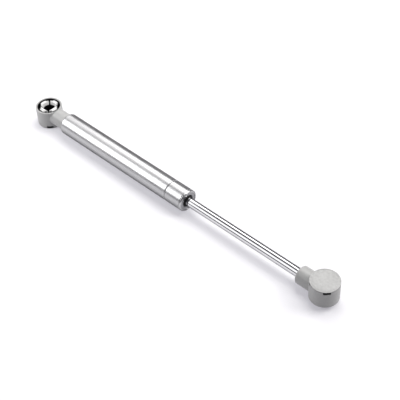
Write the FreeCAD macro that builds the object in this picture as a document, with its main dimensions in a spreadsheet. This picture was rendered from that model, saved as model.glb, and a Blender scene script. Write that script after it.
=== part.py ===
import FreeCAD, Part

import os
import re

import Sketcher
from FreeCAD import Placement, Rotation, Vector

# Gas strut stay for a cabinet lid, rod fully out, in millimetres.
# The strut lies along +X. The origin is the centre of the socket on the tube,
# on the strut's axis, and +Z points out of that socket's mouth.
# The socket on the rod is the same kind of head turned over, with its mouth down.

# Driving dimensions: alias, value, meaning.
DIMENSIONS = (
    ("centre_distance", 245.0, "socket centre to socket centre with the rod out"),
    ("stroke", 80.0, "travel of the rod"),
    ("tube_radius", 7.5, "outside of the tube"),
    ("tube_wall", 1.0, "wall of the tube, and of its rolled lips"),
    ("tube_start", 20.2, "tube end at the tube head"),
    ("tube_end", 135.7, "tube end at the rod"),
    ("plug_lip_radius", 5.5, "opening of the lip rolled over the end plug"),
    ("rod_lip_radius", 6.2, "opening of the lip rolled over the end washer"),
    ("lip_rounding", 1.1, "rounded edge of the lip at the rod"),
    ("plug_lip_rounding", 0.7, "rounded edge of the lip at the end plug"),
    ("groove_centre", 121.2, "rolled groove that holds the seal package"),
    ("groove_depth", 0.5, "depth of the rolled groove"),
    ("groove_half_width", 0.55, "half the groove's width outside"),
    ("groove_floor_half", 0.2, "half the width of the groove's floor"),
    ("bead_half_width", 0.9, "half the width of the bead inside the groove"),
    ("bead_crest_half", 0.35, "half the width of the bead's crest"),
    ("bead_height", 0.45, "height of the bead inside the tube"),
    ("fit_gap", 0.05, "gap between a fixed piece and the tube, and under the rod"),
    ("plug_length", 5.8, "end plug inside the tube"),
    ("stud_radius", 2.5, "threaded stud on the plug and on the rod's end"),
    ("stud_length", 9.0, "stud of the end plug inside the tube head"),
    ("rod_stud_length", 7.8, "stud of the rod inside the rod head"),
    ("stud_chamfer", 0.5, "pointed end of each stud"),
    ("static_ring_radius", 0.75, "section of the two static O-rings"),
    ("static_ring_centre", 5.7, "centre line of the two static O-rings"),
    ("ring_groove_half", 0.95, "half the width of an O-ring groove"),
    ("ring_groove_floor", 4.95, "radius at the floor of an O-ring groove"),
    ("support_thickness", 1.0, "support washer beside the bead"),
    ("support_bore", 3.3, "hole of the support washer"),
    ("seal_length", 4.2, "lip seal"),
    ("seal_groove_depth", 2.2, "open groove between the two lips of the seal"),
    ("seal_heel", 4.8, "radius at the bottom of that groove"),
    ("seal_lip_inner", 4.0, "radius where the inner lip ends"),
    ("seal_lip_outer", 5.6, "radius where the outer lip starts"),
    ("guide_length", 6.3, "rod guide behind the end washer"),
    ("guide_nose_radius", 4.1, "nose of the guide in the end washer"),
    ("guide_nose_length", 0.7, "how far the nose reaches into the end washer"),
    ("washer_bore", 4.2, "hole of the end washer"),
    ("washer_step", 0.7, "front of the end washer inside the lip"),
    ("rod_radius", 3.0, "chrome rod"),
    ("tenon_radius", 2.0, "thin end of the rod that carries the piston"),
    ("rivet_radius", 3.0, "rivet head at the end of the rod"),
    ("rivet_height", 1.2, "height of the rivet head"),
    ("rest_gap", 0.3, "gap between the bumper and the support washer"),
    ("bumper_length", 2.4, "rebound bumper"),
    ("bumper_radius", 5.0, "outside of the rebound bumper"),
    ("bumper_rounding", 0.6, "rounded edges of the rebound bumper"),
    ("piston_length", 6.4, "piston"),
    ("piston_radius", 6.3, "outside of the piston"),
    ("piston_groove_floor", 4.8, "radius at the floor of the piston's groove"),
    ("piston_ring_length", 2.2, "piston ring along the tube"),
    ("piston_ring_inner", 4.95, "inside of the piston ring"),
    ("ring_side_gap", 0.1, "gap on each side of the piston ring"),
    ("bleed_radius", 0.5, "bleed holes through the piston"),
    ("bleed_circle", 3.4, "radius of the circle of bleed holes"),
    ("bleed_count", 3, "number of bleed holes"),
    ("channel_depth", 0.8, "channels from the bleed holes under the bumper"),
    ("valve_thickness", 0.6, "valve disc"),
    ("valve_radius", 4.4, "outside of the valve disc"),
    ("backing_thickness", 1.0, "backing washer"),
    ("backing_radius", 3.7, "outside of the backing washer"),
    ("head_radius", 9.25, "outside of each socket head"),
    ("cup_radius", 8.05, "inside of the cup at its mouth"),
    ("seat_radius", 8.45, "wider end of the cup that takes the insert and the cap"),
    ("rim_height", 5.55, "mouth of the cup above the strut's axis"),
    ("rim_bevel", 0.3, "bevels inside and outside the mouth"),
    ("cut_margin", 2.0, "height above the neck at which the cup is cut down to its mouth"),
    ("cap_face", 8.05, "outside of the cap below the strut's axis"),
    ("cap_thickness", 0.5, "edge of the cap"),
    ("cap_bevel", 0.35, "bevel round the cap"),
    ("seat_height", 5.0, "shoulder of the seat below the strut's axis"),
    ("flange_thickness", 1.1, "flange of the insert"),
    ("flange_radius", 8.4, "outside of the insert's flange and the cap's ring"),
    ("cap_ring_inner", 7.2, "inside of the cap's ring"),
    ("window_half_width", 2.3, "half the width of the four windows at the cap"),
    ("window_top", 5.9, "edge of the windows nearest the strut's axis"),
    ("window_turn", 45.0, "degrees from the neck to the first window and slit"),
    ("petal_count", 4, "petals of each insert, and windows of each cup"),
    ("neck_radius", 6.0, "neck of each head"),
    ("neck_rounding", 0.6, "rounding where the neck meets the cup"),
    ("tube_neck_length", 20.2, "from the tube head's centre to its neck's end"),
    ("rod_neck_length", 18.2, "from the rod head's centre to its neck's end"),
    ("tube_neck_chamfer", 0.25, "bevel at the tube head's neck end"),
    ("rod_neck_chamfer", 1.1, "bevel at the rod head's neck end"),
    ("stud_spare", 0.5, "threaded hole beyond each stud"),
    ("petal_radius", 5.6, "outside of the petals"),
    ("bore_radius", 4.0, "bore for the stud of the bracket"),
    ("petal_top", 5.3, "top of the petals above the strut's axis"),
    ("lead_in_radius", 5.25, "widest part of the bore's lead-in"),
    ("lead_in_depth", 2.0, "depth of the lead-in"),
    ("slit_width", 0.9, "slits between the petals"),
    ("slit_bottom", 3.0, "end of the slits below the strut's axis"),
    ("lug_radius", 6.85, "outside of the lug behind each petal"),
    ("lug_half_width", 2.1, "half the width of each lug"),
    ("lug_drop", 0.1, "top of the lugs below the petals' tops"),
    ("sleeve_thickness", 0.35, "wall of the black sleeve inside the cup"),
    ("sleeve_top", 5.2, "top of that sleeve above the strut's axis"),
)

# Places along the strut that follow from the driving dimensions.
SUPPORT_START = "(groove_centre + bead_half_width)"
SEAL_START = f"({SUPPORT_START} + support_thickness)"
SEAL_END = f"({SEAL_START} + seal_length)"
GUIDE_END = f"({SEAL_END} + guide_length)"
GUIDE_RING_CENTRE = f"({SEAL_END} + guide_length / 2)"
LIP_BACK = "(tube_end - tube_wall)"
PLUG_START = "(tube_start + tube_wall)"
PLUG_END = f"({PLUG_START} + plug_length)"
PLUG_RING_CENTRE = f"({PLUG_START} + plug_length / 2)"
BUMPER_END = f"({SUPPORT_START} - rest_gap)"
PISTON_END = f"({BUMPER_END} - bumper_length)"
PISTON_START = f"({PISTON_END} - piston_length)"
PISTON_MIDDLE = f"({PISTON_END} - piston_length / 2)"
VALVE_START = f"({PISTON_START} - valve_thickness)"
BACKING_START = f"({VALVE_START} - backing_thickness)"
RIVET_START = f"({BACKING_START} - rivet_height)"
ROD_SHOULDER = "(centre_distance - rod_neck_length)"

# Radii that follow from the driving dimensions.
TUBE_INSIDE = "(tube_radius - tube_wall)"
FIXED_RADIUS = f"({TUBE_INSIDE} - fit_gap)"
ROD_CLEARANCE = "(rod_radius + fit_gap)"

# Heights in a socket head, from the strut's axis.
CAP_SEAM = "(cap_thickness - cap_face)"
FLANGE_BOTTOM = "(0 - seat_height - flange_thickness)"
LUG_TOP = "(petal_top - lug_drop)"
CUT_TOP = "(neck_radius + cut_margin)"


def make_sheet(doc):
    """The spreadsheet of driving dimensions."""
    sheet = doc.addObject("Spreadsheet::Sheet", "dims")
    for row, (alias, value, meaning) in enumerate(DIMENSIONS, start=1):
        sheet.set(f"A{row}", alias)
        sheet.set(f"B{row}", str(value))
        sheet.setAlias(f"B{row}", alias)
        sheet.set(f"C{row}", meaning)
    doc.recompute()
    return sheet


def on_sheet(text):
    """An expression in the sheet's aliases, as another object writes it."""
    aliases = [alias for alias, value, meaning in DIMENSIONS]
    return re.sub(r"[a-z_]+", lambda word: f"dims.{word[0]}" if word[0] in aliases else word[0], text)


def number(doc, text):
    """The present value of an expression in the sheet's aliases."""
    return float(doc.dims.evalExpression(text))


def bind(feature, **expressions):
    """Bind properties of a feature to expressions in the sheet's aliases."""
    for name, text in expressions.items():
        feature.setExpression(name, on_sheet(text))


def bind_base(feature, x="0", y="0", z="0"):
    """Bind the position of a feature to expressions in the sheet's aliases."""
    for axis, text in (("x", x), ("y", y), ("z", z)):
        feature.setExpression(f"Placement.Base.{axis}", on_sheet(text))


def new_body(doc, label):
    """An empty body that stands for one piece of the strut."""
    body = doc.addObject("PartDesign::Body", label)
    body.Label = label
    return body


def origin_feature(body, role):
    """One of the body's own planes or axes."""
    return next(item for item in body.Origin.OriginFeatures if item.Role == role)


def outline(body, name, corners, plane="XZ_Plane"):
    """A closed outline of straight edges, each corner bound to the sheet."""
    sketch = body.newObject("Sketcher::SketchObject", name)
    sketch.AttachmentSupport = (origin_feature(body, plane), [""])
    sketch.MapMode = "FlatFace"
    points = [Vector(number(body.Document, x), number(body.Document, y), 0) for x, y in corners]
    for index, point in enumerate(points):
        following = points[(index + 1) % len(points)]
        sketch.addGeometry(Part.LineSegment(point, following), False)
    for index in range(len(points)):
        following = (index + 1) % len(points)
        sketch.addConstraint(Sketcher.Constraint("Coincident", index, 2, following, 1))
    for index, (corner, point) in enumerate(zip(corners, points)):
        for kind, text, place in (("DistanceX", corner[0], point.x), ("DistanceY", corner[1], point.y)):
            constraint = sketch.addConstraint(Sketcher.Constraint(kind, -1, 1, index, 1, place))
            name = f"corner{index}{kind[-1]}"
            sketch.renameConstraint(constraint, name)
            sketch.setExpression(f"Constraints.{name}", on_sheet(text))
    return sketch


def circle(body, name, plane, radius, x="0", y="0"):
    """A sketch of one circle, bound to the sheet."""
    doc = body.Document
    sketch = body.newObject("Sketcher::SketchObject", name)
    sketch.AttachmentSupport = (origin_feature(body, plane), [""])
    sketch.MapMode = "FlatFace"
    centre = Vector(number(doc, x), number(doc, y), 0)
    sketch.addGeometry(Part.Circle(centre, Vector(0, 0, 1), number(doc, radius)), False)
    measures = (
        ("radius", Sketcher.Constraint("Radius", 0, number(doc, radius)), radius),
        ("centre_x", Sketcher.Constraint("DistanceX", -1, 1, 0, 3, centre.x), x),
        ("centre_y", Sketcher.Constraint("DistanceY", -1, 1, 0, 3, centre.y), y),
    )
    for name, constraint, text in measures:
        sketch.renameConstraint(sketch.addConstraint(constraint), name)
        sketch.setExpression(f"Constraints.{name}", on_sheet(text))
    return sketch


def turned(body, name, corners, axis="H_Axis", cut=False):
    """A solid of revolution, or a cut of that shape, from an outline in the XZ plane."""
    kind = "PartDesign::Groove" if cut else "PartDesign::Revolution"
    sketch = outline(body, f"{name}_outline", corners)
    feature = body.newObject(kind, name)
    feature.Profile = sketch
    feature.ReferenceAxis = (sketch, [axis])
    feature.Angle = 360
    body.Document.recompute()
    return feature


def ring_corners(start, end, inner, outer):
    """The outline of a plain ring on the strut's axis."""
    return [(start, inner), (end, inner), (end, outer), (start, outer)]


def polar(body, name, originals, axis, count):
    """Repeat features evenly round an axis of the body."""
    pattern = body.newObject("PartDesign::PolarPattern", name)
    pattern.Originals = originals
    pattern.Axis = (origin_feature(body, axis), [""])
    pattern.Angle = 360
    bind(pattern, Occurrences=count)
    body.Tip = pattern
    body.Document.recompute()
    return pattern


def circular_edges(shape, centre, radius):
    """Names of the shape's full circles with this centre and radius."""
    names = []
    for index, edge in enumerate(shape.Edges, start=1):
        if not isinstance(edge.Curve, Part.Circle):
            continue
        same_place = edge.Curve.Center.distanceToPoint(centre) < 1e-4
        if same_place and abs(edge.Curve.Radius - radius) < 1e-4:
            names.append(f"Edge{index}")
    return names


def round_edges(body, name, base, circles, radius, kind="PartDesign::Fillet"):
    """Round or bevel circular edges, given as centre and radius expressions."""
    doc = body.Document
    edges = []
    for (x, z), circle_radius in circles:
        centre = Vector(number(doc, x), 0, number(doc, z))
        edges += circular_edges(base.Shape, centre, number(doc, circle_radius))
    feature = body.newObject(kind, name)
    feature.Base = (base, edges)
    if kind == "PartDesign::Fillet":
        bind(feature, Radius=radius)
    else:
        bind(feature, Size=radius)
    doc.recompute()
    return feature


def seam_edges(shape, first_radius, second_radius):
    """Names of the edges where round walls of these two radii meet."""
    names = []
    for index, edge in enumerate(shape.Edges, start=1):
        faces = shape.ancestorsOfType(edge, Part.Face)
        radii = sorted(face.Surface.Radius for face in faces if isinstance(face.Surface, Part.Cylinder))
        if len(radii) != 2:
            continue
        if abs(radii[0] - first_radius) < 1e-4 and abs(radii[1] - second_radius) < 1e-4:
            names.append(f"Edge{index}")
    return names


def washer(doc, label, start, end, inner, outer):
    """A flat or thick ring on the strut's axis."""
    body = new_body(doc, label)
    turned(body, f"{label}_ring", ring_corners(start, end, inner, outer))
    return body


def o_ring(doc, label, centre):
    """A static O-ring on the strut's axis."""
    ring = doc.addObject("Part::Torus", label)
    ring.Label = label
    ring.Placement = Placement(Vector(), Rotation(Vector(0, 1, 0), 90))
    bind(ring, Radius1="static_ring_centre", Radius2="static_ring_radius")
    bind_base(ring, x=centre)
    return ring


def make_cylinder_tube(doc):
    """The steel tube, rolled in at both ends, with the groove near the rod end."""
    body = new_body(doc, "cylinder_tube")
    corners = [
        ("tube_start", "plug_lip_radius"),
        (PLUG_START, "plug_lip_radius"),
        (PLUG_START, TUBE_INSIDE),
        ("groove_centre - bead_half_width", TUBE_INSIDE),
        ("groove_centre - bead_crest_half", f"{TUBE_INSIDE} - bead_height"),
        ("groove_centre + bead_crest_half", f"{TUBE_INSIDE} - bead_height"),
        ("groove_centre + bead_half_width", TUBE_INSIDE),
        (LIP_BACK, TUBE_INSIDE),
        (LIP_BACK, "rod_lip_radius"),
        ("tube_end", "rod_lip_radius"),
        ("tube_end", "tube_radius"),
        ("groove_centre + groove_half_width", "tube_radius"),
        ("groove_centre + groove_floor_half", "tube_radius - groove_depth"),
        ("groove_centre - groove_floor_half", "tube_radius - groove_depth"),
        ("groove_centre - groove_half_width", "tube_radius"),
        ("tube_start", "tube_radius"),
    ]
    wall = turned(body, "tube_wall_turned", corners)
    rod_edge = [(("tube_end", "0"), "tube_radius")]
    rolled = round_edges(body, "rolled_rod_end", wall, rod_edge, "lip_rounding")
    plug_edge = [(("tube_start", "0"), "tube_radius")]
    round_edges(body, "rolled_plug_end", rolled, plug_edge, "plug_lip_rounding")
    return body


def make_end_plug(doc):
    """The plug behind the rolled lip, with its O-ring groove and its threaded stud."""
    body = new_body(doc, "end_plug")
    stud_tip = "tube_start - stud_length"
    corners = [
        (stud_tip, "0"),
        (PLUG_END, "0"),
        (PLUG_END, FIXED_RADIUS),
        (f"{PLUG_RING_CENTRE} + ring_groove_half", FIXED_RADIUS),
        (f"{PLUG_RING_CENTRE} + ring_groove_half", "ring_groove_floor"),
        (f"{PLUG_RING_CENTRE} - ring_groove_half", "ring_groove_floor"),
        (f"{PLUG_RING_CENTRE} - ring_groove_half", FIXED_RADIUS),
        (PLUG_START, FIXED_RADIUS),
        (PLUG_START, "plug_lip_radius - fit_gap"),
        ("tube_start", "plug_lip_radius - fit_gap"),
        ("tube_start", "stud_radius"),
        (f"{stud_tip} + stud_chamfer", "stud_radius"),
        (stud_tip, "stud_radius - stud_chamfer"),
    ]
    turned(body, "plug_and_stud", corners)
    return body


def make_rod_seal(doc):
    """The lip seal, with its open groove towards the gas."""
    body = new_body(doc, "rod_seal")
    corners = [
        (SEAL_START, ROD_CLEARANCE),
        (SEAL_END, ROD_CLEARANCE),
        (SEAL_END, FIXED_RADIUS),
        (SEAL_START, FIXED_RADIUS),
        (SEAL_START, "seal_lip_outer"),
        (f"{SEAL_START} + seal_groove_depth", "seal_heel"),
        (SEAL_START, "seal_lip_inner"),
    ]
    turned(body, "seal_lips", corners)
    return body


def make_guide_bush(doc):
    """The plastic rod guide, with a groove for its O-ring and a nose in the end washer."""
    body = new_body(doc, "guide_bush")
    corners = [
        (SEAL_END, ROD_CLEARANCE),
        (f"{GUIDE_END} + guide_nose_length", ROD_CLEARANCE),
        (f"{GUIDE_END} + guide_nose_length", "guide_nose_radius"),
        (GUIDE_END, "guide_nose_radius"),
        (GUIDE_END, FIXED_RADIUS),
        (f"{GUIDE_RING_CENTRE} + ring_groove_half", FIXED_RADIUS),
        (f"{GUIDE_RING_CENTRE} + ring_groove_half", "ring_groove_floor"),
        (f"{GUIDE_RING_CENTRE} - ring_groove_half", "ring_groove_floor"),
        (f"{GUIDE_RING_CENTRE} - ring_groove_half", FIXED_RADIUS),
        (SEAL_END, FIXED_RADIUS),
    ]
    turned(body, "guide_turned", corners)
    return body


def make_end_washer(doc):
    """The flat steel disc that the rolled lip holds against the guide."""
    body = new_body(doc, "end_washer")
    corners = [
        (GUIDE_END, "washer_bore"),
        (f"{LIP_BACK} + washer_step", "washer_bore"),
        (f"{LIP_BACK} + washer_step", "rod_lip_radius - fit_gap"),
        (LIP_BACK, "rod_lip_radius - fit_gap"),
        (LIP_BACK, FIXED_RADIUS),
        (GUIDE_END, FIXED_RADIUS),
    ]
    turned(body, "stepped_disc", corners)
    return body


def make_piston_rod(doc):
    """The rod, with the riveted tenon for the piston and the stud for the rod head."""
    body = new_body(doc, "piston_rod")
    stud_tip = f"{ROD_SHOULDER} + rod_stud_length"
    corners = [
        (RIVET_START, "0"),
        (stud_tip, "0"),
        (stud_tip, "stud_radius - stud_chamfer"),
        (f"{stud_tip} - stud_chamfer", "stud_radius"),
        (ROD_SHOULDER, "stud_radius"),
        (ROD_SHOULDER, "rod_radius"),
        (PISTON_END, "rod_radius"),
        (PISTON_END, "tenon_radius"),
        (BACKING_START, "tenon_radius"),
        (BACKING_START, "rivet_radius"),
        (f"{RIVET_START} + rivet_height / 2", "rivet_radius"),
        (RIVET_START, "rivet_radius - rivet_height / 2"),
    ]
    turned(body, "rod_turned", corners)
    return body


def make_piston(doc):
    """The piston, with the groove for its ring, the bleed holes and their channels."""
    body = new_body(doc, "piston")
    groove_half = "(piston_ring_length / 2 + ring_side_gap)"
    corners = [
        (PISTON_START, "tenon_radius"),
        (PISTON_END, "tenon_radius"),
        (PISTON_END, "piston_radius"),
        (f"{PISTON_MIDDLE} + {groove_half}", "piston_radius"),
        (f"{PISTON_MIDDLE} + {groove_half}", "piston_groove_floor"),
        (f"{PISTON_MIDDLE} - {groove_half}", "piston_groove_floor"),
        (f"{PISTON_MIDDLE} - {groove_half}", "piston_radius"),
        (PISTON_START, "piston_radius"),
    ]
    turned(body, "piston_turned", corners)
    hole = body.newObject("PartDesign::SubtractiveCylinder", "bleed_hole")
    hole.Placement = Placement(Vector(), Rotation(Vector(0, 1, 0), 90))
    bind(hole, Radius="bleed_radius", Height="piston_length")
    bind_base(hole, x=PISTON_START, z="bleed_circle")
    doc.recompute()
    polar(body, "bleed_holes", [hole], "X_Axis", "bleed_count")
    channel = body.newObject("PartDesign::SubtractiveBox", "bleed_channel")
    bind(channel, Length="channel_depth", Width="bleed_radius * 2", Height="piston_radius")
    bind_base(channel, x=f"{PISTON_END} - channel_depth", y="0 - bleed_radius", z="bleed_circle")
    doc.recompute()
    polar(body, "bleed_channels", [channel], "X_Axis", "bleed_count")
    return body


def make_rebound_bumper(doc):
    """The rubber ring that meets the support washer when the rod is out."""
    body = new_body(doc, "rebound_bumper")
    ring = turned(body, "bumper_ring", ring_corners(PISTON_END, BUMPER_END, "rod_radius", "bumper_radius"))
    edges = [((BUMPER_END, "0"), "bumper_radius"), ((PISTON_END, "0"), "bumper_radius")]
    round_edges(body, "bumper_edges", ring, edges, "bumper_rounding")
    return body


def radial_cutter(body, name, start, length, half_width, low, high):
    """A block that cuts outwards from the head's axis, turned between the petals."""
    block = body.newObject("PartDesign::SubtractiveBox", name)
    turn = Rotation(Vector(0, 0, 1), number(body.Document, "window_turn"))
    block.Placement = Placement(Vector(), turn)
    bind(block, Length=length, Width=f"({half_width}) * 2", Height=f"{high} - {low}")
    bind_base(
        block,
        x=f"({start}) * cos(window_turn) + ({half_width}) * sin(window_turn)",
        y=f"({start}) * sin(window_turn) - ({half_width}) * cos(window_turn)",
        z=low,
    )
    body.Document.recompute()
    return block


def window_cutter(body, name):
    """The block that opens one window beside the cap."""
    return radial_cutter(
        body, name, "cap_ring_inner / 2", "head_radius", "window_half_width", CAP_SEAM, "(0 - window_top)"
    )


def make_socket_body(doc, side, neck_length, neck_chamfer, stud_length, end_placement):
    """A moulded head: a cup that is open at both ends, and a neck towards +X."""
    body = new_body(doc, f"{side}_socket_body")
    neck = body.newObject("PartDesign::Pad", f"{side}_neck")
    neck.Profile = circle(body, f"{side}_neck_circle", "YZ_Plane", "neck_radius")
    bind(neck, Length=neck_length)
    doc.recompute()
    neck_edge = [((neck_length, "0"), "neck_radius")]
    round_edges(body, f"{side}_neck_bevel", neck, neck_edge, neck_chamfer, "PartDesign::Chamfer")
    cup = turned(
        body,
        f"{side}_cup",
        [
            ("0", CAP_SEAM),
            ("head_radius", CAP_SEAM),
            ("head_radius", CUT_TOP),
            ("0", CUT_TOP),
        ],
        axis="V_Axis",
    )
    seam = body.newObject("PartDesign::Fillet", f"{side}_neck_root")
    seam.Base = (cup, seam_edges(cup.Shape, number(doc, "neck_radius"), number(doc, "head_radius")))
    bind(seam, Radius="neck_rounding")
    doc.recompute()
    turned(
        body,
        f"{side}_cup_inside",
        [
            ("0", CAP_SEAM),
            ("seat_radius", CAP_SEAM),
            ("seat_radius", "0 - seat_height"),
            ("cup_radius", "0 - seat_height"),
            ("cup_radius", "rim_height - rim_bevel"),
            ("cup_radius + rim_bevel", "rim_height"),
            ("head_radius - rim_bevel", "rim_height"),
            ("head_radius", "rim_height - rim_bevel"),
            ("head_radius", CUT_TOP),
            ("0", CUT_TOP),
        ],
        axis="V_Axis",
        cut=True,
    )
    hole_end = f"{neck_length} - {stud_length} - stud_spare"
    turned(
        body,
        f"{side}_threaded_hole",
        [(hole_end, "0"), (neck_length, "0"), (neck_length, "stud_radius"), (hole_end, "stud_radius")],
        cut=True,
    )
    window = window_cutter(body, f"{side}_window")
    polar(body, f"{side}_windows", [window], "Z_Axis", "petal_count")
    body.Placement = end_placement
    return body


def make_socket_collet(doc, side, end_placement):
    """The insert: a flange, and four petals with lugs round the stud bore."""
    body = new_body(doc, f"{side}_socket_collet")
    turned(
        body,
        f"{side}_petal_ring",
        [
            ("bore_radius", FLANGE_BOTTOM),
            ("flange_radius", FLANGE_BOTTOM),
            ("flange_radius", "0 - seat_height"),
            ("petal_radius", "0 - seat_height"),
            ("petal_radius", "petal_top"),
            ("lead_in_radius", "petal_top"),
            ("bore_radius", "petal_top - lead_in_depth"),
        ],
        axis="V_Axis",
    )
    lug = body.newObject("PartDesign::AdditiveBox", f"{side}_lug")
    overlap = "(petal_radius - bore_radius) / 2"
    bind(
        lug,
        Length=f"lug_radius - petal_radius + {overlap}",
        Width="lug_half_width * 2",
        Height=f"{LUG_TOP} + seat_height",
    )
    bind_base(lug, x=f"petal_radius - {overlap}", y="0 - lug_half_width", z="0 - seat_height")
    doc.recompute()
    polar(body, f"{side}_lugs", [lug], "Z_Axis", "petal_count")
    slit = radial_cutter(
        body, f"{side}_slit", "0", "lug_radius", "slit_width / 2", "(0 - slit_bottom)", "petal_top"
    )
    polar(body, f"{side}_slits", [slit], "Z_Axis", "petal_count")
    body.Placement = end_placement
    return body


def make_socket_sleeve(doc, side, end_placement):
    """The thin sleeve that lines the cup and stands on the insert's flange."""
    body = new_body(doc, f"{side}_socket_sleeve")
    outer = "(cup_radius - fit_gap)"
    inner = f"({outer} - sleeve_thickness)"
    turned(
        body,
        f"{side}_sleeve_wall",
        [
            (inner, "0 - seat_height"),
            (outer, "0 - seat_height"),
            (outer, "sleeve_top"),
            (inner, "sleeve_top"),
        ],
        axis="V_Axis",
    )
    body.Placement = end_placement
    return body


def make_socket_cap(doc, side, end_placement):
    """The push-in cap: a bevelled disc and a ring that holds the insert down."""
    body = new_body(doc, f"{side}_socket_cap")
    turned(
        body,
        f"{side}_cap_disc",
        [
            ("0", "0 - cap_face"),
            ("head_radius - cap_bevel", "0 - cap_face"),
            ("head_radius", "0 - cap_face + cap_bevel"),
            ("head_radius", CAP_SEAM),
            ("flange_radius", CAP_SEAM),
            ("flange_radius", FLANGE_BOTTOM),
            ("cap_ring_inner", FLANGE_BOTTOM),
            ("cap_ring_inner", CAP_SEAM),
            ("0", CAP_SEAM),
        ],
        axis="V_Axis",
    )
    notch = window_cutter(body, f"{side}_cap_notch")
    polar(body, f"{side}_cap_notches", [notch], "Z_Axis", "petal_count")
    body.Placement = end_placement
    return body


def make_socket(doc, side, neck_length, neck_chamfer, stud_length, end_placement):
    """The four pieces of one head."""
    return [
        make_socket_body(doc, side, neck_length, neck_chamfer, stud_length, end_placement),
        make_socket_collet(doc, side, end_placement),
        make_socket_sleeve(doc, side, end_placement),
        make_socket_cap(doc, side, end_placement),
    ]


def make_barrel_pieces(doc):
    """Everything that is fixed to the tube."""
    pieces = [
        make_cylinder_tube(doc),
        make_end_plug(doc),
        o_ring(doc, "end_plug_o_ring", PLUG_RING_CENTRE),
        washer(doc, "seal_support_washer", SUPPORT_START, SEAL_START, "support_bore", FIXED_RADIUS),
        make_rod_seal(doc),
        make_guide_bush(doc),
        o_ring(doc, "guide_o_ring", GUIDE_RING_CENTRE),
        make_end_washer(doc),
    ]
    mouth_up = Placement()
    return pieces + make_socket(
        doc, "tube", "tube_neck_length", "tube_neck_chamfer", "stud_length", mouth_up
    )


def make_rod_pieces(doc):
    """Everything that slides with the rod."""
    ring_start = f"{PISTON_MIDDLE} - piston_ring_length / 2"
    ring_end = f"{PISTON_MIDDLE} + piston_ring_length / 2"
    pieces = [
        make_piston_rod(doc),
        make_piston(doc),
        washer(doc, "piston_ring", ring_start, ring_end, "piston_ring_inner", FIXED_RADIUS),
        washer(doc, "valve_disc", VALVE_START, PISTON_START, "tenon_radius", "valve_radius"),
        washer(doc, "backing_washer", BACKING_START, VALVE_START, "tenon_radius", "backing_radius"),
        make_rebound_bumper(doc),
    ]
    turned_over = Rotation(Vector(0, 1, 0), 180)
    mouth_down = Placement(Vector(number(doc, "centre_distance"), 0, 0), turned_over)
    return pieces + make_socket(
        doc, "rod", "rod_neck_length", "rod_neck_chamfer", "rod_stud_length", mouth_down
    )


def check_model(doc, pieces):
    """Stop if any feature failed or any piece is not one valid solid."""
    for item in doc.Objects:
        if "Invalid" in item.State or "Error" in item.State:
            raise RuntimeError(f"{item.Label} failed: {item.State}")
    for piece in pieces:
        shape = piece.Shape
        if shape.isNull() or not shape.isValid() or len(shape.Solids) != 1:
            raise RuntimeError(f"{piece.Label} is not one valid solid")


def check_travel(doc):
    """Stop if the rod, pushed in, would reach the end plug or the tube's end."""
    if number(doc, f"{RIVET_START} - stroke - {PLUG_END}") <= 0:
        raise RuntimeError("the rivet head reaches the end plug")
    if number(doc, f"{ROD_SHOULDER} - stroke - tube_end") <= 0:
        raise RuntimeError("the rod head reaches the tube")


def main():
    doc = FreeCAD.newDocument("gas_strut_stay")
    make_sheet(doc)
    check_travel(doc)
    pieces = make_barrel_pieces(doc) + make_rod_pieces(doc)
    doc.recompute()
    check_model(doc, pieces)
    os.makedirs("parts", exist_ok=True)
    for piece in pieces:
        piece.Shape.exportStep(f"parts/{piece.Label}.step")
        print(f"{piece.Label:24s} {piece.Shape.Volume:10.2f} mm3")


main()
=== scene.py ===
"""Looks of the gas strut stay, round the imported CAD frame."""
import math
import bmesh
import bpy
from mathutils import Matrix, Vector


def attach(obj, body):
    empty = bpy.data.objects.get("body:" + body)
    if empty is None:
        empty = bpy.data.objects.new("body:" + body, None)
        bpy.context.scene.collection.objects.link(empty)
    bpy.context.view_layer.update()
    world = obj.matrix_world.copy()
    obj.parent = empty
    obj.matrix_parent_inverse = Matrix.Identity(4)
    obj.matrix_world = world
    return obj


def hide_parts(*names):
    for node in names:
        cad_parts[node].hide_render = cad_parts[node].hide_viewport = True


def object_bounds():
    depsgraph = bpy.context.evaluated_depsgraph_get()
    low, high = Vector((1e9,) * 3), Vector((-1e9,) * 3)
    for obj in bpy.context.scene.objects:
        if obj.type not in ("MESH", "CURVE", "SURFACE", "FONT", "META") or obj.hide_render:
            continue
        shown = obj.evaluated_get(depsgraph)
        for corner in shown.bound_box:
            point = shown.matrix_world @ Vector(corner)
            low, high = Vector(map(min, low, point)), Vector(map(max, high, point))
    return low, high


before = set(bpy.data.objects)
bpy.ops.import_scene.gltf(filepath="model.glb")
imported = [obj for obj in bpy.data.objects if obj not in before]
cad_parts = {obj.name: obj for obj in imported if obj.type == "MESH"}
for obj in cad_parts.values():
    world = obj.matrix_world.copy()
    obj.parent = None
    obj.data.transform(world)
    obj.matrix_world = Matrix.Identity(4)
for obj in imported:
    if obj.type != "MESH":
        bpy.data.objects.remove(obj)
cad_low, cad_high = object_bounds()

MM = 0.001
scene = bpy.context.scene

# ---------------------------------------------------------------- camera

CAMERA_TARGET = Vector((146.31, 0.0, 8.08)) * MM
CAMERA_DISTANCE = 603.28 * MM
CAMERA_AZIMUTH = math.radians(45.471)
CAMERA_ELEVATION = math.radians(44.90)
CAMERA_ROLL = math.radians(-2.975)
CAMERA_LENS = 87.04
CAMERA_SENSOR = 36.0


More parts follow.
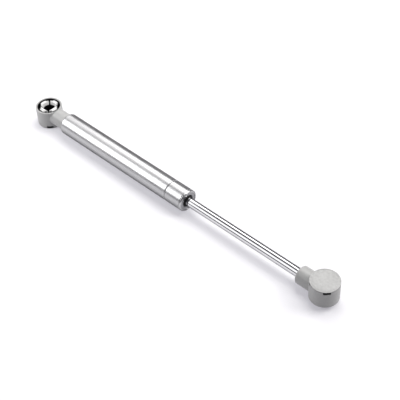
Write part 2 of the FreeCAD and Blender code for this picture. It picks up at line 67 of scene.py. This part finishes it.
def add_camera():
    """The photograph's viewing angle, with the strut where the photograph has it."""
    back = Vector((
        math.sin(CAMERA_AZIMUTH) * math.cos(CAMERA_ELEVATION),
        -math.cos(CAMERA_AZIMUTH) * math.cos(CAMERA_ELEVATION),
        math.sin(CAMERA_ELEVATION),
    ))
    level = Vector((0, 0, 1)).cross(back).normalized()
    upright = back.cross(level)
    right = math.cos(CAMERA_ROLL) * level + math.sin(CAMERA_ROLL) * upright
    up = math.cos(CAMERA_ROLL) * upright - math.sin(CAMERA_ROLL) * level
    data = bpy.data.cameras.new("camera")
    data.lens = CAMERA_LENS
    data.sensor_width = CAMERA_SENSOR
    data.clip_start = 0.01
    data.clip_end = 20.0
    camera = bpy.data.objects.new("camera", data)
    scene.collection.objects.link(camera)
    place = Matrix((right, up, back)).transposed().to_4x4()
    place.translation = CAMERA_TARGET + back * CAMERA_DISTANCE
    camera.matrix_world = place
    scene.camera = camera


add_camera()

# ---------------------------------------------------------------- light

FLOOR_Z = cad_low.z
WHITE = (1.0, 1.0, 1.0)
WARM_WHITE = (1.0, 0.99, 0.98)
AMBIENT_COLOUR = (0.88, 0.87, 1.0, 1)
AMBIENT_STRENGTH = 0.12

# Name, tilt in degrees, then distance, width, start and end along the strut in metres, radiance, colour.
# At the camera's angle the tube mirrors the far panels and the rod mirrors the near ones. The low panels
# brighten the tube's first stretch, and the last two light the strut and the floor from above.
SOFTBOXES = (
    ("back_near", 30, 0.9, 0.64, -0.43, 0.1, 1.4, WARM_WHITE),
    ("back_far", 29, 0.9, 1.0, -1.2, -0.43, 1.5, WARM_WHITE),
    ("left_near", -46, 0.7, 0.56, -0.33, -0.05, 1.4, WHITE),
    ("left_far", -41, 0.7, 0.84, -1.2, -0.33, 1.7, WHITE),
    ("back_low", 34, 0.45, 0.2, -0.26, 0.03, 3.0, WARM_WHITE),
    ("left_low", -45, 0.35, 0.2, -0.3, -0.09, 5.6, WHITE),
    ("light_top", 16, 1.0, 0.5, -0.2, 0.42, 5.3, WARM_WHITE),
    ("light_right", 42, 1.0, 0.65, 0.35, 1.25, 7.0, WARM_WHITE),
)


def softbox(name, tilt, distance, width, start, end, radiance, colour):
    """A softbox that runs parallel to the strut, from start to end, and faces its axis.

    tilt is how far it stands from overhead towards +Y, in degrees, and distance is how far from the axis.
    """
    length = end - start
    data = bpy.data.lights.new(name, "AREA")
    data.shape = "RECTANGLE"
    data.size = length
    data.size_y = width
    data.energy = radiance * math.pi * length * width
    data.color = colour
    light = bpy.data.objects.new(name, data)
    scene.collection.objects.link(light)
    angle = math.radians(tilt)
    aim = Vector((0, math.sin(angle), math.cos(angle)))
    across = Vector((1, 0, 0))
    place = Matrix((across, aim.cross(across), aim)).transposed().to_4x4()
    place.translation = Vector(((start + end) / 2, 0, 0)) + aim * distance
    light.matrix_world = place


def add_lights():
    """The softboxes and a faint, even surrounding."""
    for settings in SOFTBOXES:
        softbox(*settings)
    world = bpy.data.worlds.new("world")
    world.use_nodes = True
    back = world.node_tree.nodes["Background"]
    back.inputs["Color"].default_value = AMBIENT_COLOUR
    back.inputs["Strength"].default_value = AMBIENT_STRENGTH
    scene.world = world
    scene.view_settings.view_transform = "Standard"
    scene.view_settings.look = "None"


add_lights()

# ---------------------------------------------------------------- materials

# Most of a noise pattern's values lie between these two.
PATTERN_LOW = 0.3
PATTERN_HIGH = 0.7

# Features per metre.
MOTTLE_SCALE = 260
MOULD_GRAIN_SCALE = 4200
STREAK_SCALE = 1600
FLOOR_SCALE = 30

# How a pattern is stretched: lines along the strut, lines round it, no stretch, level streaks.
ALONG = (0.02, 1, 1)
ROUND = (1, 0.03, 0.03)
EVEN = (1, 1, 1)
LEVEL = (0.12, 0.12, 1)

STREAK_DARK = (0.92, 0.92, 0.92)
STREAK_LIGHT = (1.08, 1.08, 1.08)
FLOOR_COLOUR = (0.5, 0.5, 0.5, 1)
FLOOR_GLOW = (0.93, 0.91, 1.0, 1)
FLOOR_GLOW_STRENGTH = 0.36


def new_material(name):
    """A material with its node tree."""
    material = bpy.data.materials.new(name)
    material.use_nodes = True
    return material, material.node_tree


def grain(tree, scale, stretch=EVEN, detail=3.0):
    """A procedural pattern in the object's own space; scale is in features per metre."""
    coords = tree.nodes.new("ShaderNodeTexCoord")
    mapping = tree.nodes.new("ShaderNodeMapping")
    mapping.inputs["Scale"].default_value = stretch
    pattern = tree.nodes.new("ShaderNodeTexNoise")
    pattern.inputs["Scale"].default_value = scale
    pattern.inputs["Detail"].default_value = detail
    tree.links.new(coords.outputs["Object"], mapping.inputs["Vector"])
    tree.links.new(mapping.outputs["Vector"], pattern.inputs["Vector"])
    return pattern.outputs["Fac"]


def spread(tree, factor, low, high):
    """A value that follows the pattern from low to high."""
    node = tree.nodes.new("ShaderNodeMapRange")
    node.inputs["From Min"].default_value = PATTERN_LOW
    node.inputs["From Max"].default_value = PATTERN_HIGH
    node.inputs["To Min"].default_value = low
    node.inputs["To Max"].default_value = high
    tree.links.new(factor, node.inputs["Value"])
    return node.outputs["Result"]


def tint(tree, factor, first, second):
    """A colour that follows the pattern from first to second."""
    node = tree.nodes.new("ShaderNodeMix")
    node.data_type = "RGBA"
    node.inputs["A"].default_value = (*first, 1)
    node.inputs["B"].default_value = (*second, 1)
    tree.links.new(factor, node.inputs["Factor"])
    return node.outputs["Result"]


def relief(tree, factor, depth, under=None):
    """A normal that follows the pattern as a relief, depth metres deep."""
    node = tree.nodes.new("ShaderNodeBump")
    node.inputs["Strength"].default_value = 1.0
    node.inputs["Distance"].default_value = depth
    tree.links.new(factor, node.inputs["Height"])
    if under is not None:
        tree.links.new(under, node.inputs["Normal"])
    return node.outputs["Normal"]


def shaded(colour, amount):
    """The colour made darker or lighter."""
    return tuple(min(1.0, channel * amount) for channel in colour)


def metal(name, colour, rough, stretch, scale, depth, edge=0.5, vary=0.2, sharp=None):
    """A metal with drawn or turned lines over a soft mottling, in tone and in relief.

    edge is how bright it stays towards grazing angles. sharp adds a second, shinier lobe in patches.
    """
    material, tree = new_material(name)
    lines = grain(tree, scale, stretch)
    mottle = grain(tree, MOTTLE_SCALE, detail=5.0)
    normal = relief(tree, lines, depth, relief(tree, mottle, depth * 20))
    paint = tint(tree, mottle, shaded(colour, 0.9), shaded(colour, 1.08))
    output = tree.nodes["Material Output"]
    shaders = [(tree.nodes["Principled BSDF"], rough)]
    if sharp is not None:
        shaders.append((tree.nodes.new("ShaderNodeBsdfPrincipled"), sharp))
    for shader, level in shaders:
        shader.inputs["Metallic"].default_value = 1.0
        shader.inputs["Specular Tint"].default_value = (edge, edge, edge, 1)
        uneven = spread(tree, lines, level * (1 - vary), level * (1 + vary))
        tree.links.new(uneven, shader.inputs["Roughness"])
        tree.links.new(paint, shader.inputs["Base Color"])
        tree.links.new(normal, shader.inputs["Normal"])
    if sharp is not None:
        mix = tree.nodes.new("ShaderNodeMixShader")
        tree.links.new(spread(tree, mottle, 0.2, 0.45), mix.inputs["Fac"])
        tree.links.new(shaders[0][0].outputs["BSDF"], mix.inputs[1])
        tree.links.new(shaders[1][0].outputs["BSDF"], mix.inputs[2])
        tree.links.new(mix.outputs["Shader"], output.inputs["Surface"])
    return material


def plastic(name, colour, rough, fine_depth, coarse_depth, coarse_scale=700, vary=0.06, specular=0.5):
    """A moulded plastic: spark-eroded grain, broader flow marks and faint level streaks."""
    material, tree = new_material(name)
    fine = grain(tree, MOULD_GRAIN_SCALE, detail=2.0)
    coarse = grain(tree, coarse_scale, detail=5.0)
    streaks = grain(tree, STREAK_SCALE, LEVEL)
    shader = tree.nodes["Principled BSDF"]
    shader.inputs["Specular IOR Level"].default_value = specular
    paint = tint(tree, coarse, shaded(colour, 1 - vary), shaded(colour, 1 + vary))
    streaked = tree.nodes.new("ShaderNodeMix")
    streaked.data_type = "RGBA"
    streaked.blend_type = "MULTIPLY"
    streaked.inputs["Factor"].default_value = 1.0
    tree.links.new(paint, streaked.inputs["A"])
    tree.links.new(tint(tree, streaks, STREAK_DARK, STREAK_LIGHT), streaked.inputs["B"])
    tree.links.new(streaked.outputs["Result"], shader.inputs["Base Color"])
    tree.links.new(spread(tree, coarse, rough - 0.07, rough + 0.07), shader.inputs["Roughness"])
    broad = relief(tree, coarse, coarse_depth)
    tree.links.new(relief(tree, fine, fine_depth, broad), shader.inputs["Normal"])
    return material


def floor_paint():
    """The pale, plain studio floor."""
    material, tree = new_material("floor_paint")
    shader = tree.nodes["Principled BSDF"]
    shader.inputs["Base Color"].default_value = FLOOR_COLOUR
    shader.inputs["Emission Color"].default_value = FLOOR_GLOW
    shader.inputs["Emission Strength"].default_value = FLOOR_GLOW_STRENGTH
    shader.inputs["Specular IOR Level"].default_value = 0.1
    tree.links.new(spread(tree, grain(tree, FLOOR_SCALE), 0.75, 0.85), shader.inputs["Roughness"])
    return material


# By slot. A metal's values: name, colour, roughness, stretch, lines per metre, relief in metres.
# A plastic's values: name, colour, roughness, fine relief and coarse relief in metres.
MATERIALS = {
    "tube_steel": metal("satin_tube", (0.49, 0.49, 0.495), 0.37, ALONG, 3600, 2e-6, edge=0.12, sharp=0.2),
    "plug_steel": metal("plated_plug", (0.58, 0.58, 0.59), 0.3, ROUND, 3000, 3e-6),
    "washer_steel": metal("plated_washer", (0.33, 0.33, 0.34), 0.33, EVEN, 2500, 2e-6),
    "rod_chrome": metal("hard_chrome", (0.70, 0.70, 0.71), 0.045, ROUND, 1500, 2e-8, edge=0.0),
    "piston_aluminium": metal("turned_aluminium", (0.62, 0.62, 0.62), 0.32, ROUND, 3000, 3e-6),
    "insert_plastic": plastic("pale_insert", (0.66, 0.66, 0.65), 0.28, 3e-6, 8e-6),
    "head_plastic": plastic("moulded_head", (0.33, 0.33, 0.325), 0.4, 7e-6, 1.2e-5),
    # The cap is the head's grey plastic made a touch lighter: painted light on the upward face of the
    # rod's cap.
    "cap_plastic": plastic("textured_cap", (0.36, 0.36, 0.355), 0.45, 1.4e-5, 2.5e-4, 650, 0.28),
    # The black acetal also paints shade on the insert's lower part and on the tabs in the cup's windows.
    "guide_plastic": plastic("black_acetal_and_painted_shade", (0.005, 0.005, 0.0055), 0.5, 4e-6, 6e-6, specular=0.12),
    "ring_plastic": plastic("filled_ptfe", (0.1, 0.08, 0.05), 0.45, 6e-6, 1e-5),
    "seal_rubber": plastic("nitrile_rubber", (0.006, 0.006, 0.006), 0.6, 8e-6, 1e-5, specular=0.15),
    "floor": floor_paint(),
}


def dress_nodes():
    """Give every CAD piece the material of its slot."""
    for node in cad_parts.values():
        for slot in node.material_slots:
            slot.material = MATERIALS[slot.material.name.split(".")[0]]


dress_nodes()

# ---------------------------------------------------------------- mesh tools

# Shapes are made in millimetres, and add_piece turns them into metres.

# Both heads are one shape: the rod's is the tube's, turned over at the strut's other end.
HEAD_DISTANCE = 245.0
TUBE_HEAD = Matrix.Identity(4)
ROD_HEAD = Matrix.Translation((HEAD_DISTANCE, 0, 0)) @ Matrix.Rotation(math.pi, 4, "Y")

WELD = 1e-4
CREASE_ANGLE = math.radians(32)
BEVEL_ANGLE = math.radians(40)


def skin(columns, closed=True):
    """A closed surface through closed outlines of equal length.

    The outlines stand round an axis, or from one flat end to the other when closed is False.
    """
    shape = bmesh.new()
    rings = [[shape.verts.new(point) for point in column] for column in columns]
    pairs = list(zip(rings, rings[1:]))
    if closed:
        pairs.append((rings[-1], rings[0]))
    else:
        shape.faces.new(rings[0][::-1])
        shape.faces.new(rings[-1])
    for ring, following in pairs:
        for index in range(len(ring)):
            after = (index + 1) % len(ring)
            shape.faces.new((ring[index], ring[after], following[after], following[index]))
    return shape


def joined(shapes):
    """One mesh from several."""
    whole = bmesh.new()
    for shape in shapes:
        carrier = bpy.data.meshes.new("carrier")
        shape.to_mesh(carrier)
        shape.free()
        whole.from_mesh(carrier)
        bpy.data.meshes.remove(carrier)
    return whole


def turned_x(outline, segments=128):
    """A closed outline of (along, radius) points turned round the strut's axis."""
    columns = []
    for step in range(segments):
        turn = 2 * math.pi * step / segments
        columns.append([(x, r * math.cos(turn), r * math.sin(turn)) for x, r in outline])
    return skin(columns)


def turned_z(outline, segments=128):
    """A closed outline of (radius, height) points turned round a head's axis."""
    columns = []
    for step in range(segments):
        turn = 2 * math.pi * step / segments
        columns.append([(r * math.cos(turn), r * math.sin(turn), z) for r, z in outline])
    return skin(columns)


def rounding(centre, radius, start, end, steps=6):
    """Points on an arc, from start to end in degrees."""
    points = []
    for step in range(steps + 1):
        angle = math.radians(start + (end - start) * step / steps)
        points.append((centre[0] + radius * math.cos(angle), centre[1] + radius * math.sin(angle)))
    return points


def add_piece(name, shape, slot, body, nodes=(), place=None, bevel=0.0):
    """Turn a mesh in millimetres into a finished piece that rides a body."""
    bmesh.ops.remove_doubles(shape, verts=shape.verts, dist=WELD)
    bmesh.ops.recalc_face_normals(shape, faces=shape.faces)
    if place is not None:
        bmesh.ops.transform(shape, matrix=place, verts=shape.verts)
    bmesh.ops.scale(shape, vec=(MM, MM, MM), verts=shape.verts)
    for face in shape.faces:
        face.smooth = True
    for edge in shape.edges:
        edge.smooth = edge.calc_face_angle(0.0) < CREASE_ANGLE
    mesh = bpy.data.meshes.new(name)
    shape.to_mesh(mesh)
    shape.free()
    mesh.materials.append(MATERIALS[slot])
    piece = bpy.data.objects.new(name, mesh)
    scene.collection.objects.link(piece)
    if bevel:
        rounded = piece.modifiers.new("edges", "BEVEL")
        rounded.width = bevel * MM
        rounded.segments = 2
        rounded.limit_method = "ANGLE"
        rounded.angle_limit = BEVEL_ANGLE
        rounded.harden_normals = True
    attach(piece, body)
    if nodes:
        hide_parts(*nodes)


# ---------------------------------------------------------------- tube and its end

TUBE_START = 20.2
TUBE_END = 135.7
TUBE_RADIUS = 7.5
TUBE_BORE = 6.5
LIP_ROUNDING = 0.7
END_ROUNDING = 1.1
END_HOLE = 6.2
START_HOLE = 5.5
END_WALL = 1
GROOVE_X = 121.2
GROOVE_HALF = 0.55
GROOVE_DEPTH = 0.7
BEAD_HALF = 0.9
BEAD_HEIGHT = 0.45
MARK_X = 134.1
MARK_HALF = 0.3
MARK_DEPTH = 0.36

WASHER_BACK = 133.6
WASHER_STEP = 134.7
WASHER_FACE = 135.4
WASHER_HOLE = 4.2
WASHER_RINGS = (5.7, 4.95)
RING_HALF = 0.2
RING_DEPTH = 0.06

# The black lip round the rod, as (along, radius) points. It stands just proud of the tube's end.
WIPER = ((134.3, 3.08), (136.1, 3.08), (136.15, 3.18), (135.7, 3.5), (135.25, 4.12), (134.3, 4.15))


def groove(centre, half, depth, radius, steps=12):
    """A smooth groove in an outline along the tube: the radius dips by depth at its centre."""
    points = []
    for step in range(steps + 1):
        part = 2 * step / steps - 1
        points.append((centre + part * half, radius - depth * (1 + math.cos(math.pi * part)) / 2))
    return points


def tube_outline():
    """The tube's section: rolled lips, the groove with its bead, and a rolling mark at the lip.

    The points just beside the groove and the mark keep the smooth shading of the plain lengths straight.
    """
    lip = (TUBE_START + LIP_ROUNDING, TUBE_RADIUS - LIP_ROUNDING)
    end = (TUBE_END - END_ROUNDING, TUBE_RADIUS - END_ROUNDING)
    outside = rounding(lip, LIP_ROUNDING, 180, 90)
    outside += [(TUBE_START + 0.8, TUBE_RADIUS), (GROOVE_X - 0.65, TUBE_RADIUS)]
    outside += groove(GROOVE_X, GROOVE_HALF, GROOVE_DEPTH, TUBE_RADIUS)
    outside += [(GROOVE_X + 0.65, TUBE_RADIUS), (MARK_X - 0.4, TUBE_RADIUS)]
    outside += groove(MARK_X, MARK_HALF, MARK_DEPTH, TUBE_RADIUS, 8)
    outside += rounding(end, END_ROUNDING, 90, 0, 10)
    inside = [(TUBE_END, END_HOLE + 0.05), (TUBE_END - 0.05, END_HOLE)]
    inside += [(TUBE_END - END_WALL, END_HOLE), (TUBE_END - END_WALL, TUBE_BORE)]
    inside += groove(GROOVE_X, BEAD_HALF, BEAD_HEIGHT, TUBE_BORE)[::-1]
    inside += [(TUBE_START + END_WALL, TUBE_BORE), (TUBE_START + END_WALL, START_HOLE)]
    return outside + inside + [(TUBE_START, START_HOLE)]


def washer_outline():
    """The end washer's section, with two turned rings on its face and a bevelled hole."""
    points = [(WASHER_BACK, WASHER_HOLE), (WASHER_BACK, 6.45), (WASHER_STEP, 6.45)]
    points += [(WASHER_STEP, 6.15), (WASHER_FACE, 6.15)]
    for ring in WASHER_RINGS:
        points += [(WASHER_FACE, ring + RING_HALF), (WASHER_FACE - RING_DEPTH, ring)]
        points += [(WASHER_FACE, ring - RING_HALF)]
    return points + [(WASHER_FACE, WASHER_HOLE + 0.2), (WASHER_FACE - 0.2, WASHER_HOLE)]


add_piece("tube_shell", turned_x(tube_outline()), "tube_steel", "barrel", ("cylinder_tube",))
add_piece("end_washer_turned", turned_x(washer_outline()), "washer_steel", "barrel", ("end_washer",))
add_piece("rod_wiper", turned_x(WIPER), "seal_rubber", "barrel")

# ---------------------------------------------------------------- socket inserts

BORE = 4.0
SLIT_HALF = 0.58
SLIT_BOTTOM = -3.0
LUG_HALF = 2.1
LUG_IN = 5.98
LUG_OUT = 6.75
LUG_OVERLAP = 0.1
PETAL_OUT = 5.65
PETAL_TOP = 5.3
PETAL_BASE = 2.9
LIP_CHORD = 4.45
LIP_CORNER = 5.36
FLANGE_OUT = 8.4
FLANGE_TOP = -5.0
FLANGE_LOW = -6.1
WINDOW_HALF = 2.3
TAB_HALF = WINDOW_HALF - 0.06
CAP_BACK = -7.5
CAP_FACE = -8.05
CAP_WALL_HALF = 3.3
QUARTER = math.pi / 2


def around(radius, height, angle):
    """A point by its radius, height and direction round a head's axis."""
    return (radius * math.cos(angle), radius * math.sin(angle), height)


def petal_angle(radius, share):
    """How far round a petal's section stands at this radius: the slits have parallel sides."""
    return share * (QUARTER / 2 - math.asin(SLIT_HALF / radius))


def between_slits(section_at, steps=14):
    """Four blocks between the slits, from the section at each share of the way across."""
    shapes = []
    for quarter in range(4):
        columns = []
        for step in range(steps + 1):
            share = 2 * step / steps - 1
            points = section_at(share)
            columns.append([around(r, z, quarter * QUARTER + petal_angle(r, share)) for r, z in points])
        shapes.append(skin(columns, closed=False))
    return shapes


def sector(section, half, turn, steps=6):
    """A block of this (radius, height) section with parallel sides, half wide each way."""
    columns = []
    for step in range(steps + 1):
        across = half * (2 * step / steps - 1)
        columns.append([around(r, z, turn + math.asin(across / r)) for r, z in section])
    return skin(columns, closed=False)


def petal_section(share):
    """A petal, from the round bore up to its straight lip."""
    lip = min(LIP_CHORD / math.cos(petal_angle(5.0, share)), LIP_CORNER)
    section = [(BORE, PETAL_BASE)]
    for height, part in ((3.4, 0.14), (3.9, 0.34), (4.4, 0.6), (4.9, 0.88)):
        section.append((BORE + (lip - BORE) * part, height))
    section += [(lip, 5.15), (lip + 0.06, 5.25), (lip + 0.18, PETAL_TOP)]
    return section + [(PETAL_OUT - 0.06, PETAL_TOP), (PETAL_OUT, 5.22), (PETAL_OUT, PETAL_BASE)]


def petals():
    """The four petals, each with its lug behind a groove."""
    root = PETAL_OUT - LUG_OVERLAP
    lug = [(root, PETAL_BASE), (root, 4.5), (LUG_IN, 4.5), (LUG_IN, 5.2)]
    lug += [(LUG_IN + 0.06, 5.26), (LUG_OUT - 0.2, 5.22), (LUG_OUT, 5.02), (LUG_OUT, PETAL_BASE)]
    lugs = [sector(lug, LUG_HALF, quarter * QUARTER) for quarter in range(4)]
    return joined(between_slits(petal_section) + lugs)


def insert_base_painted_shade():
    """The insert's lower part under the petals, black as painted shade for its deep bore: its wall with
    the slits, its lugs and its flange.
    """
    wall = [(BORE, SLIT_BOTTOM), (BORE, PETAL_BASE), (PETAL_OUT, PETAL_BASE), (PETAL_OUT, SLIT_BOTTOM)]
    flange = [(BORE, FLANGE_LOW), (BORE, SLIT_BOTTOM), (PETAL_OUT, SLIT_BOTTOM), (PETAL_OUT, FLANGE_TOP)]
    flange += [(FLANGE_OUT, FLANGE_TOP), (FLANGE_OUT, FLANGE_LOW)]
    root = PETAL_OUT - LUG_OVERLAP
    lug = [(root, FLANGE_TOP), (root, PETAL_BASE), (LUG_OUT, PETAL_BASE), (LUG_OUT, FLANGE_TOP)]
    lugs = [sector(lug, LUG_HALF, quarter * QUARTER) for quarter in range(4)]
    return joined([turned_z(flange), *between_slits(lambda share: wall), *lugs, *window_painted_shade_tabs()])


def window_painted_shade_tabs():
    """Black tabs that fill the cup's four windows: painted shade that keeps the windows dark."""
    section = [(7.3, CAP_BACK), (7.3, FLANGE_LOW), (8.42, FLANGE_LOW)]
    section += [(8.42, -5.95), (9.0, -5.95), (9.0, CAP_BACK)]
    return [sector(section, TAB_HALF, (quarter + 0.5) * QUARTER) for quarter in range(4)]


def cap_disc():
    """The cap's face with its ring groove and rounded edge, and the gap between the cap and the cup."""
    ring_groove = [(8.1, CAP_FACE), (8.2, -8.01), (8.33, -7.92), (8.46, -8.01), (8.56, CAP_FACE)]
    edge = [(8.7, CAP_FACE), (8.9, -8.02), (9.08, -7.96), (9.17, -7.9), (9.2, -7.83)]
    gap = [(8.5, -7.81), (8.5, -7.56), (8.3, -7.56), (8.3, CAP_BACK)]
    return turned_z([(0, CAP_FACE), *ring_groove, *edge, *gap, (0, CAP_BACK)])


def cap_walls():
    """The cap's four walls between the windows."""
    section = [(7.25, CAP_BACK), (7.25, FLANGE_LOW), (8.35, FLANGE_LOW), (8.35, CAP_BACK)]
    return [sector(section, CAP_WALL_HALF, quarter * QUARTER) for quarter in range(4)]


def add_socket(side, place, body):
    """The insert, pale above and black below as painted shade in its bore, and the cap."""
    insert = f"{side}_socket_collet"
    add_piece(f"{side}_petals", petals(), "insert_plastic", body, (insert,), place, bevel=0.04)
    # The insert's lower half is black as painted shade, where the bore lies in deep shade.
    add_piece(f"{side}_insert_base_painted_shade", insert_base_painted_shade(), "guide_plastic", body, (insert,), place)
    cap = joined([cap_disc(), *cap_walls()])
    add_piece(f"{side}_cap", cap, "cap_plastic", body, (f"{side}_socket_cap",), place)


add_socket("tube", TUBE_HEAD, "barrel")
add_socket("rod", ROD_HEAD, "rod")

# ---------------------------------------------------------------- floor

FLOOR_HALF = 4.0


def add_floor():
    """The plane the strut lies on, at the CAD model's lowest point."""
    half = FLOOR_HALF
    mesh = bpy.data.meshes.new("floor")
    corners = [(-half, -half), (half, -half), (half, half), (-half, half)]
    mesh.from_pydata([(x, y, FLOOR_Z) for x, y in corners], [], [(0, 1, 2, 3)])
    floor = bpy.data.objects.new("floor", mesh)
    scene.collection.objects.link(floor)
    mesh.materials.append(MATERIALS["floor"])


add_floor()
